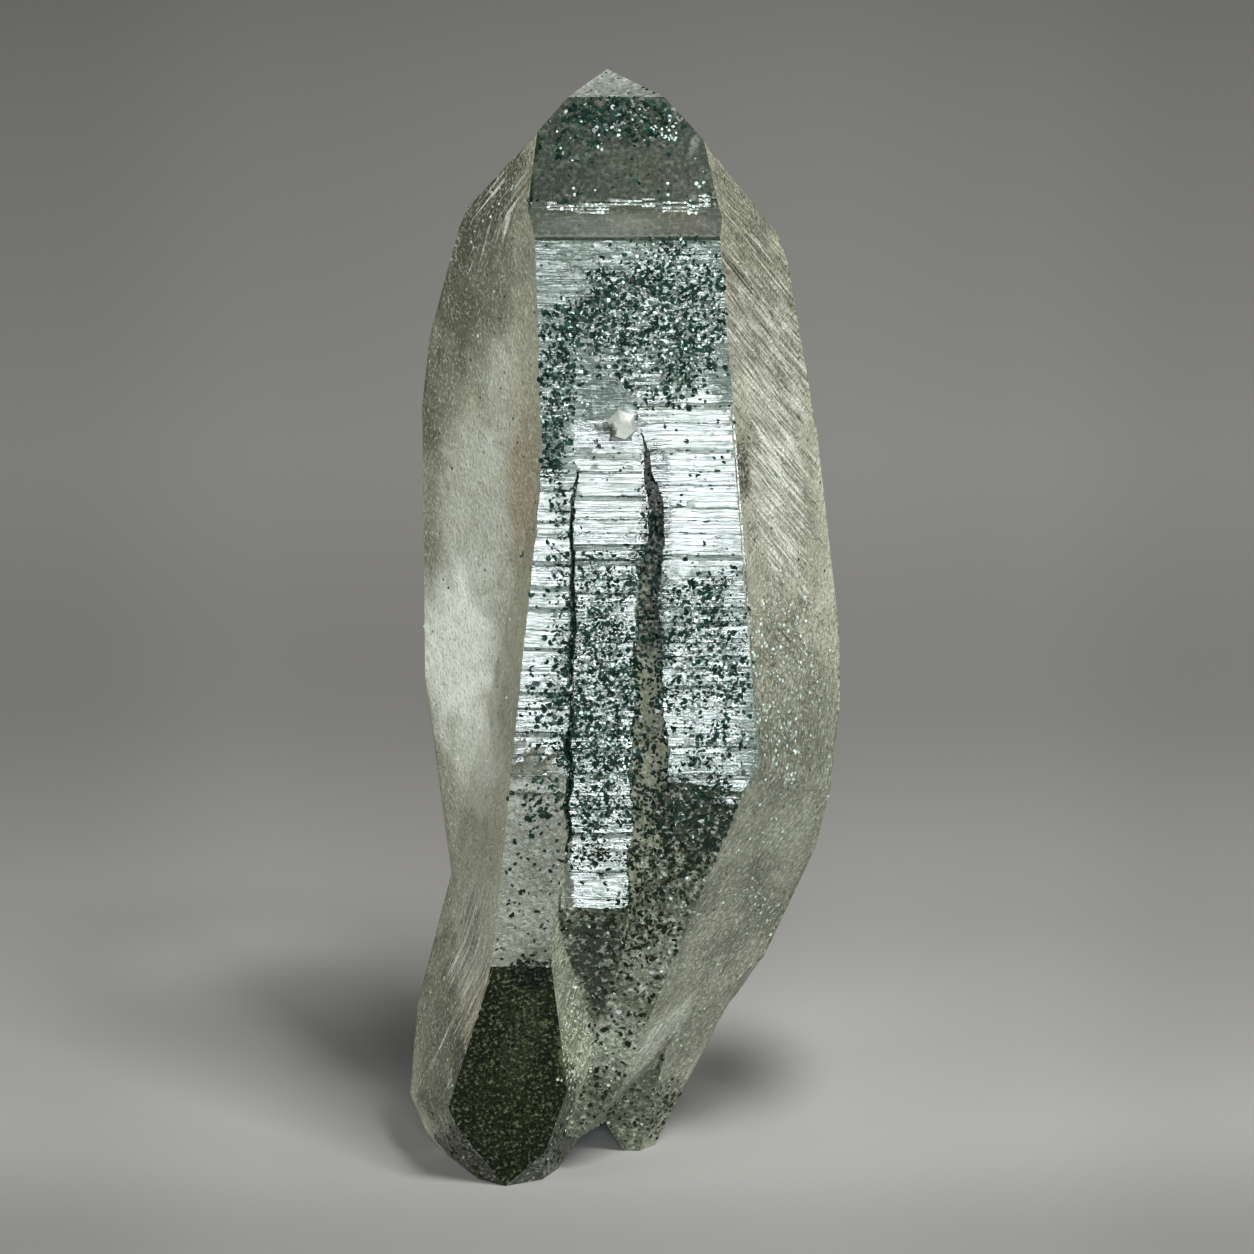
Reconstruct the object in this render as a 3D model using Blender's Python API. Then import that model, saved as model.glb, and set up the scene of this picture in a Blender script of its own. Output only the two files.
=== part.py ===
"""A single quartz crystal with green inclusions, standing on its two broken feet.

The crystal is one natural piece, so it is one solid. It is made the way it grew: each growth
is the room behind its flat faces, and the growths are then joined into one body. The valleys
between the ribs and the grooves on the right side are cut out of it last.
Lengths are in millimetres while it is made, and in metres in the finished mesh.
+X is to the right, +Y away and +Z up, seen from the front, with the ground at z = 0.

A face is written as (azimuth, lean, point). Azimuth 0 looks to the front and 90 to the right.
Lean tips the face upward, so a face with a negative lean looks down. The point lies on it.
"""

import itertools
import math
import random

import bmesh
import bpy
from mathutils import Matrix, Vector

MM = 0.001
BLOCK = 200.0
MERGE = 0.001

# The main crystal: 91.8 tall, about 34 wide and 29 deep.
STEM_FACES = [
    (0, 0, (0.0, 0.0, 40.0)),
    (-57, -1.3, (-6.95, 0.0, 75.2)),
    (61.7, 4.0, (7.9, 0.0, 75.2)),
    (-119.6, 1.0, (-16.39, 15.5, 65.2)),
    (117.4, 7.6, (14.08, 12.5, 70.9)),
    (180, 3.0, (0.0, 28.0, 30.0)),
    # The point: a band, the main face and the small cap, then the faces round the back.
    (0, 21.6, (0.0, 0.0, 80.3)),
    (0, 37.4, (0.0, 0.95, 82.7)),
    (0, 69.1, (-4.52, 6.71, 90.24)),
    (-111.6, 42.7, (-4.52, 6.71, 90.24)),
    (125.2, 42.7, (3.1, 6.71, 90.24)),
    (180, 41.0, (-1.44, 11.2, 91.7)),
    # The shoulders.
    (-96.2, 41.5, (-4.52, 6.71, 90.24)),
    (103.7, 39.8, (3.1, 6.71, 90.24)),
    (-65.7, 23.7, (-7.12, 3.86, 86.52)),
    (73.3, 24.3, (6.41, 3.86, 86.52)),
    (-108, 21.0, (-13.0, 9.6, 79.8)),
    (-114, 11.0, (-15.4, 12.9, 73.5)),
    (110, 12.5, (13.2, 10.6, 74.3)),
    # The lower end narrows on both sides and stops above the ground.
    (-84.9, -7.3, (-16.81, 15.5, 42.5)),
    (117, -4.0, (17.6, 13.5, 43.9)),
    (95, -9.0, (16.9, 13.0, 34.0)),
    (50, -22.1, (9.26, -0.16, 34.1)),
    (93, -22.7, (14.42, 13.0, 23.3)),
    (91, -27.5, (9.74, 14.0, 12.56)),
    (-5, -9.0, (6.04, 0.0, 34.9)),
    (64, -38.3, (3.3, 7.75, 10.35)),
    (170, -14.0, (0.0, 27.0, 12.0)),
    (0, -86.0, (-1.0, 6.0, 3.2)),
]

# The rib at the left of the front, which runs down into the left foot.
LEFT_RIB_FACES = [
    (-73.6, 5.7, (-8.42, 0.0, 44.1)),
    (-84.9, -7.3, (-16.81, 15.5, 42.5)),
    (-119.6, 1.0, (-16.3, 15.5, 65.2)),
    (180, 0.0, (0.0, 22.0, 40.0)),
    (78, 0.0, (-4.2, 0.0, 40.0)),
    (54, -7.0, (-4.68, 0.0, 29.85)),
    (0, 60.0, (-7.0, 0.0, 62.0)),
    (0.8, -9.4, (-10.95, 0.06, 19.27)),
    (0, -90.0, (0.0, 0.0, 10.0)),
]

CENTRE_RIB_FACES = [
    (-90, 0.0, (-5.2, 0.0, 40.0)),
    (90, 0.0, (1.3, 0.0, 40.0)),
    (75, -17.0, (0.35, 0.0, 24.4)),
    (0, 60.0, (0.0, 0.0, 62.5)),
    (0, -22.2, (-4.05, 0.0, 24.6)),
    (180, 0.0, (0.0, 7.0, 40.0)),
]

RIGHT_RIB_FACES = [
    (-90, 0.0, (1.0, 0.0, 40.0)),
    (61.7, 4.0, (9.48, 0.0, 54.0)),
    (50, -22.1, (9.15, -0.16, 34.1)),
    (-5, -24.0, (6.04, 0.0, 34.9)),
    (0, 62.0, (5.0, 0.0, 66.7)),
    (180, 0.0, (0.0, 1.0, 40.0)),
]

LEFT_FOOT_FACES = [
    (0.8, -9.4, (-10.95, 0.0, 19.27)),
    (-72.1, 13.2, (-10.95, 0.0, 19.0)),
    (0, 0.0, (-8.0, -0.05, 19.0)),
    (-116.0, 13.5, (-17.27, 14.5, 12.1)),
    (-120.7, -10.2, (-17.27, 14.5, 12.1)),
    (54, -0.5, (-5.92, 0.0, 19.7)),
    (64.9, -19.9, (-4.83, 1.89, 8.4)),
    (80.5, -38.8, (-5.73, 8.0, -0.3)),
    (-65.1, -22.2, (-17.07, 11.0, 3.75)),
    (-66.2, -38.0, (-14.87, 9.0, 1.1)),
    (-38, -30.0, (-11.9, 4.8, 0.0)),
    (28, -32.0, (-7.6, 4.4, 0.0)),
    (95, 3.0, (-1.5, 14.0, 5.0)),
    (180, -8.0, (0.0, 25.0, 8.0)),
    (180, 16.0, (0.0, 25.2, 10.0)),
    (60, 55.0, (-8.0, 6.0, 26.0)),
    (0, -90.0, (0.0, 0.0, 0.0)),
]

RIGHT_FOOT_FACES = [
    (0, -20.9, (0.33, 12.2, -0.72)),
    (50, -22.1, (9.22, -0.13, 34.1)),
    (93, -22.7, (14.38, 13.0, 23.3)),
    (91, -27.5, (9.7, 14.0, 12.56)),
    (86, -31.0, (6.0, 14.0, 5.5)),
    (84, -26.0, (3.5, 14.0, 1.9)),
    (117, -4.5, (17.4, 13.5, 43.9)),
    (-76.8, -32.1, (0.33, 12.2, -0.72)),
    (-92, 0.0, (-4.2, 14.0, 10.0)),
    (180, -10.0, (0.0, 24.5, 5.0)),
    (0, 90.0, (0.0, 0.0, 17.0)),
    (0, -90.0, (0.0, 0.0, 0.0)),
]

# The valley between the middle rib and the right rib widens downward.
VALLEY_FACES = [
    (0, 0.0, (0.0, -3.0, 40.0)),
    (176, 0.0, (1.5, 1.3, 40.0)),
    (-72, 1.3, (1.19, 0.0, 65.25)),
    (70, 8.0, (1.3, 0.0, 65.2)),
    (70, 3.1, (2.45, 0.0, 57.0)),
    (0, 80.0, (0.0, 0.0, 66.0)),
    (0, -90.0, (0.0, 0.0, 19.0)),
]

# The narrow groove left of the middle rib: start, end, width and depth.
NARROW_GROOVES = [
    ((-4.05, 0.0, 61.2), (-4.25, 0.0, 42.0), 0.7, 0.8),
    ((-4.22, 0.0, 43.5), (-4.72, 0.0, 29.6), 0.8, 0.9),
]

# Slanting growth lines on the right side: height at the front edge, length along the face.
SLANTED_LINES = [
    (79.2, 12.5), (76.4, 15.0), (73.1, 17.0), (70.6, 17.5), (67.0, 18.0),
    (63.8, 17.5), (60.4, 15.0), (57.9, 7.0), (53.2, 11.0),
]

LINE_STEEPNESS = (38, 42)
LINE_WIDTHS = (0.45, 0.8)
LINE_DEPTH = 0.22
GROOVE_LIFT = 0.6

# Growth ledges across the ribs: top, bottom, heights, how far they stand out, depth and seed.
LEFT_LEDGES = (62.4, 34.5, (0.9, 2.2), 0.22, 0.16, 3)
CENTRE_LEDGES = (62.8, 26.0, (1.0, 2.6), 0.14, 0.18, 7)
RIGHT_LEDGES = (66.9, 36.0, (0.9, 2.4), 0.3, 0.2, 11)
LEDGE_UNDERCUT = 0.02
SLAB_TAIL = 40.0
SLAB_BACK = 30.0
SLAB_HALF_WIDTH = 30.0

# The small crystal on the front.
KNOB_PLACE = (-0.24, -0.1, 65.1)
KNOB_RADIUS = 1.15
KNOB_TIP_RADIUS = 0.7
KNOB_LENGTH = 1.5

QUARTZ_COLOUR = (0.66, 0.69, 0.58, 1.0)


def clear_scene():
    for old in list(bpy.data.objects):
        bpy.data.objects.remove(old, do_unlink=True)


def new_collection(name):
    made = bpy.data.collections.new(name)
    bpy.context.scene.collection.children.link(made)
    return made


def object_from(bm, name, collection):
    """Turns finished geometry into an object of the given collection."""
    bmesh.ops.recalc_face_normals(bm, faces=bm.faces)
    mesh = bpy.data.meshes.new(name)
    bm.to_mesh(mesh)
    bm.free()
    made = bpy.data.objects.new(name, mesh)
    collection.objects.link(made)
    return made


def as_cutter(made):
    made.hide_render = True
    made.display_type = "WIRE"
    return made


def hull_of(corners, name, collection):
    """The flat-faced solid that holds all the given corners."""
    bm = bmesh.new()
    for corner in corners:
        bm.verts.new(corner)
    bmesh.ops.remove_doubles(bm, verts=bm.verts, dist=MERGE)
    hull = bmesh.ops.convex_hull(bm, input=bm.verts)
    inner = [part for part in hull["geom_interior"] if isinstance(part, bmesh.types.BMVert)]
    bmesh.ops.delete(bm, geom=inner, context="VERTS")
    bmesh.ops.dissolve_limit(bm, angle_limit=math.radians(0.2), verts=bm.verts, edges=bm.edges)
    return as_cutter(object_from(bm, name, collection))


def normal_of(azimuth, lean):
    a = math.radians(azimuth)
    tip = math.radians(lean)
    return Vector((math.sin(a) * math.cos(tip), -math.cos(a) * math.cos(tip), math.sin(tip)))


def growth(name, faces, collection):
    """One growth of the crystal: the room that lies behind all of its flat faces."""
    planes = [(normal_of(azimuth, lean), Vector(point)) for azimuth, lean, point in faces]
    for axis in range(3):
        for sign in (-1, 1):
            limit = Vector((0, 0, 0))
            limit[axis] = sign
            planes.append((limit, limit * BLOCK))
    reach = [normal.dot(point) for normal, point in planes]
    corners = []
    for first, second, third in itertools.combinations(range(len(planes)), 3):
        rows = Matrix((planes[first][0], planes[second][0], planes[third][0]))
        if abs(rows.determinant()) < 1e-6:
            continue
        corner = rows.inverted() @ Vector((reach[first], reach[second], reach[third]))
        if all(plane[0].dot(corner) <= limit + 1e-4 for plane, limit in zip(planes, reach)):
            corners.append(corner)
    return hull_of(corners, name, collection)


def apply_boolean(target, tool, operation):
    """Joins or cuts the target with the tool, and takes the tool away."""
    step = target.modifiers.new("step", "BOOLEAN")
    step.operation = operation
    step.solver = "EXACT"
    step.object = tool
    graph = bpy.context.evaluated_depsgraph_get()
    made = bpy.data.meshes.new_from_object(target.evaluated_get(graph))
    target.modifiers.remove(step)
    target.data = made
    bpy.data.objects.remove(tool, do_unlink=True)


def ledges(name, top, bottom, heights, proud, depth, seed, collection):
    """A slab whose front steps outward again and again on the way down, like growth ledges."""
    pick = random.Random(seed)
    outline = []
    z = top
    while z > bottom:
        tall = pick.uniform(*heights)
        outline.append((-proud + depth * pick.uniform(0.45, 1.0), z))
        outline.append((-proud, z - tall + LEDGE_UNDERCUT))
        z -= tall
    outline.append((-proud, bottom - SLAB_TAIL))
    outline.append((SLAB_BACK, bottom - SLAB_TAIL))
    outline.append((SLAB_BACK, top))
    bm = bmesh.new()
    side = bm.faces.new([bm.verts.new((-SLAB_HALF_WIDTH, y, z)) for y, z in outline])
    grown = bmesh.ops.extrude_face_region(bm, geom=[side])
    far_side = [part for part in grown["geom"] if isinstance(part, bmesh.types.BMVert)]
    bmesh.ops.translate(bm, verts=far_side, vec=(2 * SLAB_HALF_WIDTH, 0, 0))
    return as_cutter(object_from(bm, name, collection))


def rib(name, faces, slab, collection):
    """A rib is the stepped slab, trimmed by the flat faces of the rib."""
    made = growth(name, faces, collection)
    apply_boolean(made, slab, "INTERSECT")
    return made


def groove(name, start, end, width, depth, outward, collection):
    """A wedge that cuts a narrow V along the line from start to end, shallow at both ends."""
    start = Vector(start)
    end = Vector(end)
    side = (end - start).cross(outward).normalized()
    half = width * 0.5 * (depth + GROOVE_LIFT) / depth
    corners = []
    for along, share in ((0.0, 0.3), (0.2, 1.0), (0.8, 1.0), (1.0, 0.3)):
        place = start.lerp(end, along)
        corners.append(place - outward * depth * share)
        corners.append(place + outward * GROOVE_LIFT + side * half * (0.4 + 0.6 * share))
        corners.append(place + outward * GROOVE_LIFT - side * half * (0.4 + 0.6 * share))
    return hull_of(corners, name, collection)


def slanted_grooves(collection):
    """Wedges for the slanting growth lines of the right side."""
    azimuth, lean, point = STEM_FACES[2]
    outward = normal_of(azimuth, lean)
    across = Vector((0, 0, 1)).cross(outward).normalized()
    down = outward.cross(across).normalized() * -1.0
    pick = random.Random(5)
    made = []
    for number, (height, length) in enumerate(SLANTED_LINES):
        steep = math.radians(pick.uniform(*LINE_STEEPNESS))
        edge = Vector(point) + down * (point[2] - height) / abs(down.z)
        start = edge + across * pick.uniform(0.3, 0.9)
        end = start + (across * math.cos(steep) + down * math.sin(steep)) * length
        width = pick.uniform(*LINE_WIDTHS)
        made.append(groove("line_%d" % number, start, end, width, LINE_DEPTH, outward, collection))
    return made


def knob(collection):
    """The small six-sided crystal that grew on the front."""
    bm = bmesh.new()
    bmesh.ops.create_cone(
        bm, cap_ends=True, segments=6, radius1=KNOB_RADIUS, radius2=KNOB_TIP_RADIUS, depth=KNOB_LENGTH,
    )
    turn = Matrix.Rotation(math.radians(96), 4, "X") @ Matrix.Rotation(math.radians(12), 4, "Z")
    bmesh.ops.transform(bm, matrix=Matrix.Translation(Vector(KNOB_PLACE)) @ turn, verts=bm.verts)
    return as_cutter(object_from(bm, "knob", collection))


def quartz_material():
    material = bpy.data.materials.new("chlorite_quartz")
    material.use_nodes = True
    shader = material.node_tree.nodes["Principled BSDF"]
    shader.inputs["Base Color"].default_value = QUARTZ_COLOUR
    shader.inputs["Roughness"].default_value = 0.35
    shader.inputs["IOR"].default_value = 1.544
    shader.inputs["Transmission Weight"].default_value = 0.6
    return material


def weld(crystal):
    """Merges the corners that the joins left almost on top of each other."""
    bm = bmesh.new()
    bm.from_mesh(crystal.data)
    bmesh.ops.remove_doubles(bm, verts=bm.verts, dist=MERGE)
    bm.to_mesh(crystal.data)
    bm.free()


def settle(crystal):
    """Puts the middle of the base at the origin and turns millimetres into metres."""
    corners = [corner.co for corner in crystal.data.vertices]
    low = Vector([min(c[i] for c in corners) for i in range(3)])
    high = Vector([max(c[i] for c in corners) for i in range(3)])
    shift = Vector((-(low.x + high.x) / 2, -(low.y + high.y) / 2, -low.z))
    crystal.data.transform(Matrix.Scale(MM, 4) @ Matrix.Translation(shift))


def main():
    clear_scene()
    shape = new_collection("phantom_quartz_crystal")
    tools = new_collection("cutters")
    crystal = growth("crystal", STEM_FACES, shape)
    crystal.hide_render = False
    crystal.display_type = "TEXTURED"

    joined = [
        rib("left_rib", LEFT_RIB_FACES, ledges("left_slab", *LEFT_LEDGES, tools), tools),
        rib("centre_rib", CENTRE_RIB_FACES, ledges("centre_slab", *CENTRE_LEDGES, tools), tools),
        rib("right_rib", RIGHT_RIB_FACES, ledges("right_slab", *RIGHT_LEDGES, tools), tools),
        growth("left_foot", LEFT_FOOT_FACES, tools),
        growth("right_foot", RIGHT_FOOT_FACES, tools),
    ]
    for addition in joined:
        apply_boolean(crystal, addition, "UNION")

    apply_boolean(crystal, growth("valley", VALLEY_FACES, tools), "DIFFERENCE")
    front = Vector((0, -1, 0))
    for number, (start, end, width, depth) in enumerate(NARROW_GROOVES):
        cutter = groove("narrow_%d" % number, start, end, width, depth, front, tools)
        apply_boolean(crystal, cutter, "DIFFERENCE")
    for line in slanted_grooves(tools):
        apply_boolean(crystal, line, "DIFFERENCE")
    apply_boolean(crystal, knob(tools), "UNION")

    crystal.data.materials.clear()
    crystal.data.materials.append(quartz_material())
    weld(crystal)
    settle(crystal)


main()
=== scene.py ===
import math
import random

import bmesh
import bpy
from mathutils import Matrix, Vector, noise


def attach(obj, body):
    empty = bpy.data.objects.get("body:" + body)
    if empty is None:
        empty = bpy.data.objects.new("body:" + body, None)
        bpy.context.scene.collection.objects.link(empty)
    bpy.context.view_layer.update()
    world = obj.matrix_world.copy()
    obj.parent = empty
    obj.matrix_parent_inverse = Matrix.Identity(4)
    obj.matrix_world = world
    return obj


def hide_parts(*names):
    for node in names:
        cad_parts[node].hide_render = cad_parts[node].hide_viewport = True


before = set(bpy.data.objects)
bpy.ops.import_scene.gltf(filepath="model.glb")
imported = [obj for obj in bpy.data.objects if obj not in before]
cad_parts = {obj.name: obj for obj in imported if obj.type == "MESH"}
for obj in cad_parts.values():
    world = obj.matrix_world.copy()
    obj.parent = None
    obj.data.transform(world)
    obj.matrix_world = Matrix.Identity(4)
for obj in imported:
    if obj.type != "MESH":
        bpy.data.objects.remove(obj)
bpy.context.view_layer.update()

mm = 0.001
frontY = -13.995 * mm  # the flat front of the crystal, between the ribs

# camera, where the photograph was taken from
cameraSettings = {
    "lookDown": 15.0,  # degrees
    "distance": 550 * mm,
    "aim": (0.289 * mm, frontY, 48.48 * mm),
    "frameWidth": 100.32 * mm,  # what the picture spans at that distance
    "sensor": 36.0,
    "seesFrom": 10 * mm,
}


# small helpers
def addObject(name, data):
    made = bpy.data.objects.new(name, data)
    bpy.context.scene.collection.objects.link(made)
    return made


def feed(tree, node, inputs):
    # each input gets a plain value, or a link from the output given for it
    for name, value in inputs.items():
        if isinstance(value, bpy.types.NodeSocket):
            tree.links.new(value, node.inputs[name])
        else:
            node.inputs[name].default_value = value


def addNode(tree, kind, x=0, y=0, inputs=None, **values):
    node = tree.nodes.new(kind)
    node.location = (x, y)
    for name, value in values.items():
        setattr(node, name, value)
    feed(tree, node, inputs or {})
    return node


def newMaterial(name):
    material = bpy.data.materials.new(name)
    material.use_nodes = True
    tree = material.node_tree
    return material, tree, tree.nodes["Principled BSDF"]


def newGroup(name, inputs, outputs, kind="ShaderNodeTree"):
    # sockets by name and type; gives the group, what comes in, and the node that hands out
    group = bpy.data.node_groups.new(name, kind)
    for sockets, side in ((inputs, "INPUT"), (outputs, "OUTPUT")):
        for socketName, socketKind in sockets.items():
            group.interface.new_socket(socketName, in_out=side, socket_type="NodeSocket" + socketKind)
    entry = addNode(group, "NodeGroupInput", -1200)
    return group, entry.outputs, addNode(group, "NodeGroupOutput", 900)


def mixColours(tree, first, second, factor, x, y):
    first, second = [(*c, 1.0) if isinstance(c, tuple) else c for c in (first, second)]
    mix = addNode(tree, "ShaderNodeMix", x, y, {0: factor, 6: first, 7: second}, data_type="RGBA")
    return mix.outputs[2]


def mapRange(tree, value, low, high, x, y, toLow=0.0, toHigh=1.0):
    inputs = {"Value": value, "From Min": low, "From Max": high, "To Min": toLow, "To Max": toHigh}
    return addNode(tree, "ShaderNodeMapRange", x, y, inputs).outputs["Result"]


def doMath(tree, operation, inputs, x, y, clamp=False):
    node = addNode(tree, "ShaderNodeMath", x, y, inputs, operation=operation, use_clamp=clamp)
    return node.outputs["Value"]


def multiply(tree, first, second, x, y):
    return doMath(tree, "MULTIPLY", {0: first, 1: second}, x, y)


def vectorMath(tree, operation, inputs, x, y, output="Vector"):
    return addNode(tree, "ShaderNodeVectorMath", x, y, inputs, operation=operation).outputs[output]


def ease(value, start, end):
    share = min(1.0, max(0.0, (value - start) / (end - start)))
    return share * share * (3 - 2 * share)


def noiseAt(x, y, z):
    return noise.noise(Vector((x, y, z)))


def faceDirection(azimuth, lean):
    a, tip = math.radians(azimuth), math.radians(lean)
    return Vector((math.sin(a) * math.cos(tip), -math.cos(a) * math.cos(tip), math.sin(tip)))


def lineDirections(azimuth, lean, steep):
    # for lines that run down a face: out of the face, along the lines, and across them
    outward = faceDirection(azimuth, lean)
    level = Vector((0, 0, 1)).cross(outward).normalized()
    down = level.cross(outward).normalized()
    if down.z > 0:
        down.negate()
    along = level * math.cos(math.radians(steep)) + down * math.sin(math.radians(steep))
    return outward, along, along.cross(outward).normalized()


def makeCamera(settings):
    data = bpy.data.cameras.new("photoCamera")
    data.sensor_width = settings["sensor"]
    data.lens = settings["sensor"] * settings["distance"] / settings["frameWidth"]
    data.clip_start = settings["seesFrom"]
    camera = addObject("photoCamera", data)
    tip = math.radians(settings["lookDown"])
    back = Vector((0, -math.cos(tip), math.sin(tip)))
    camera.location = Vector(settings["aim"]) + back * settings["distance"]
    camera.rotation_euler = (math.radians(90) - tip, 0, 0)
    bpy.context.scene.camera = camera
    return camera


makeCamera(cameraSettings)
print("camera placed")

# textures that every finish shares; a range says which part of a noise is used, as 0 to 1
textureSettings = {
    "warp": (700.0, 0.4 * mm),  # scale and size of the noise that bends the specks out of shape
    "speckEdge": (0.5, 0.3),
    "grain": {"Detail": 3.0, "Roughness": 0.60},
    "grainRange": (0.3, 0.7),
    "clouds": {"Scale": 150.0, "Detail": 8.0, "Roughness": 0.62},
    "cloudRange": (0.35, 0.65),
    "lines": {"Scale": 1.0, "Detail": 3.0},
    "lineRange": (0.43, 0.61),
    "strandRange": (0.41, 0.28),
}


# specks, grain and clouds that vary over the surface
def makeSpeckleGroup(look):
    group, entry, leave = newGroup(
        "chloriteSpeckle",
        {"Vector": "Vector", "Speck Scale": "Float", "Speck Amount": "Float", "Grain Scale": "Float"},
        {"Specks": "Float", "Grain": "Float", "Clouds": "Float"})
    place = entry["Vector"]
    scale, size = look["warp"]
    warp = addNode(group, "ShaderNodeTexNoise", -750, 350, {"Vector": place, "Scale": scale})
    bent = {0: warp.outputs["Color"], 1: (size, size, size), 2: place}
    cells = addNode(group, "ShaderNodeTexVoronoi", -450, 150,
                    {"Vector": vectorMath(group, "MULTIPLY_ADD", bent, -600, 350),
                     "Scale": entry["Speck Scale"]})
    chosen = addNode(group, "ShaderNodeSeparateColor", -250, 250, {"Color": cells.outputs["Color"]})
    shown = doMath(group, "LESS_THAN", {0: chosen.outputs["Red"], 1: entry["Speck Amount"]}, -50, 250)
    within = mapRange(group, cells.outputs["Distance"], *look["speckEdge"], -250, 0)
    grain = addNode(group, "ShaderNodeTexNoise", -450, -150,
                    {"Vector": place, "Scale": entry["Grain Scale"], **look["grain"]})
    clouds = addNode(group, "ShaderNodeTexNoise", -450, -400, {"Vector": place, **look["clouds"]})
    feed(group, leave, {
        "Specks": multiply(group, shown, within, 200, 100),
        "Grain": mapRange(group, grain.outputs["Fac"], *look["grainRange"], -200, -150),
        "Clouds": mapRange(group, clouds.outputs["Fac"], *look["cloudRange"], -200, -400),
    })
    return group


# growth lines: noise drawn out along one direction; strands are the pale threads between the lines
def makeLineGroup(look):
    group, entry, leave = newGroup("growthLines",
                                   {"Vector": "Vector", "Turn": "Vector", "Line Size": "Vector"},
                                   {"Lines": "Float", "Strands": "Float"})
    drawn = addNode(group, "ShaderNodeMapping", -500, 0,
                    {"Vector": entry["Vector"], "Rotation": entry["Turn"], "Scale": entry["Line Size"]},
                    vector_type="TEXTURE")
    lines = addNode(group, "ShaderNodeTexNoise", -250, 0,
                    {"Vector": drawn.outputs["Vector"], **look["lines"]})
    feed(group, leave, {
        "Lines": mapRange(group, lines.outputs["Fac"], *look["lineRange"], 0, 0),
        "Strands": mapRange(group, lines.outputs["Fac"], *look["strandRange"], 0, -250),
    })
    return group


# glitter: the surface as many tiny facets, each turned its own way
def makeGlitterGroup():
    group, entry, leave = newGroup("facetGlitter",
                                   {"Vector": "Vector", "Normal": "Vector", "Squeeze": "Vector",
                                    "Facet Scale": "Float", "Spread": "Float"}, {"Normal": "Vector"})
    squeezed = vectorMath(group, "MULTIPLY", {0: entry["Vector"], 1: entry["Squeeze"]}, -900, 100)
    cells = addNode(group, "ShaderNodeTexVoronoi", -700, 100,
                    {"Vector": squeezed, "Scale": entry["Facet Scale"]})
    centred = vectorMath(group, "SUBTRACT", {0: cells.outputs["Color"], 1: (0.5, 0.5, 0.5)}, -500, 100)
    turned = vectorMath(group, "SCALE", {0: centred, "Scale": entry["Spread"]}, -300, 100)
    added = vectorMath(group, "ADD", {0: entry["Normal"], 1: turned}, -100, 0)
    feed(group, leave, {"Normal": vectorMath(group, "NORMALIZE", {0: added}, 100, 0)})
    return group


speckleGroup = makeSpeckleGroup(textureSettings)
lineGroup = makeLineGroup(textureSettings)
glitterGroup = makeGlitterGroup()

# directions of the growth lines: azimuth and lean of the face, how steeply they run; and their
# width and length in millimetres
lineSets = {
    "level": ((0.0, 0.0, 0.0), (0.11, 2.6)),
    "rightSlant": ((61.7, 4.0, 40.0), (0.20, 4.5)),
    "leftSlant": ((-62.0, 20.0, 122.0), (0.34, 5.5)),
    "lowSlant": ((49.8, -22.0, 120.0), (0.20, 1.3)),
}

# the clear quartz, and what a finish has unless it says otherwise
quartzGlass = {
    "ior": 1.544,
    "absorbs": (0.62, 0.72, 0.56, 1.0),
    "density": 45.0,
    "greenEdge": 2.2,  # how sharp the border of the green is
    "greenBreak": (0.15, -1.1),  # how the grain breaks that border up
    "strands": 0.9,
    "paleGrain": (0.58, 0.95, 0.55),  # from, to and how strong
    "darkGrain": (0.42, 0.05, 0.65),
    "smoothed": (1.0, 0.35),  # roughness of a dull and of a glittering place
    "glittersFrom": 0.25,
    "relief": 0.09 * mm,
}
plainLook = {"flat": False, "shine": 0.5, "squeeze": (1.0, 1.0, 1.0), "shade": (0.046, 0.050, 0.022)}

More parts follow.
